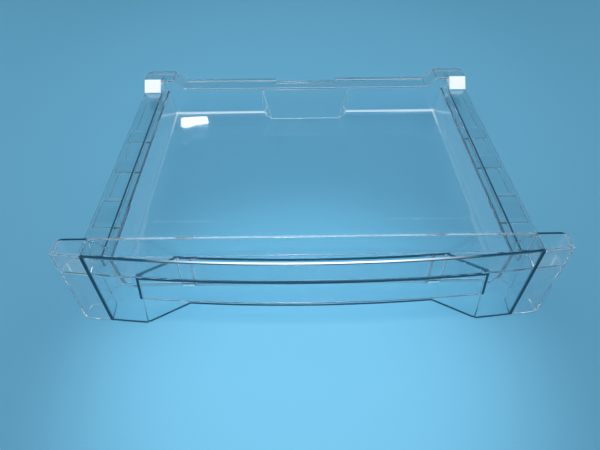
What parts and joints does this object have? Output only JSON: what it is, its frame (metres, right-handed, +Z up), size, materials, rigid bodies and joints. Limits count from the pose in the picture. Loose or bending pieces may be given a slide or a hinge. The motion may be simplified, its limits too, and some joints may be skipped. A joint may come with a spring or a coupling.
{
  "type": "fridge drawer",
  "caption": "Shallow clear fridge drawer with a curved hollow front, grip pocket, side runner rims and raised padded rear corners.",
  "frame": {"origin": "middle of the bounding box across and along, level with the front's lower edge", "axes": "+X to the right seen from the front, +Y from the front to the back, the way it slides in, +Z up"},
  "size_m": [0.47, 0.373, 0.099],
  "materials": {
    "clear_plastic": "clear, polished",
    "white_pad": "matt white"
  },
  "bodies": {
    "root": {"drawer": "clear_plastic", "rear_pad_left": "white_pad", "rear_pad_right": "white_pad"}
  },
  "joints": []
}
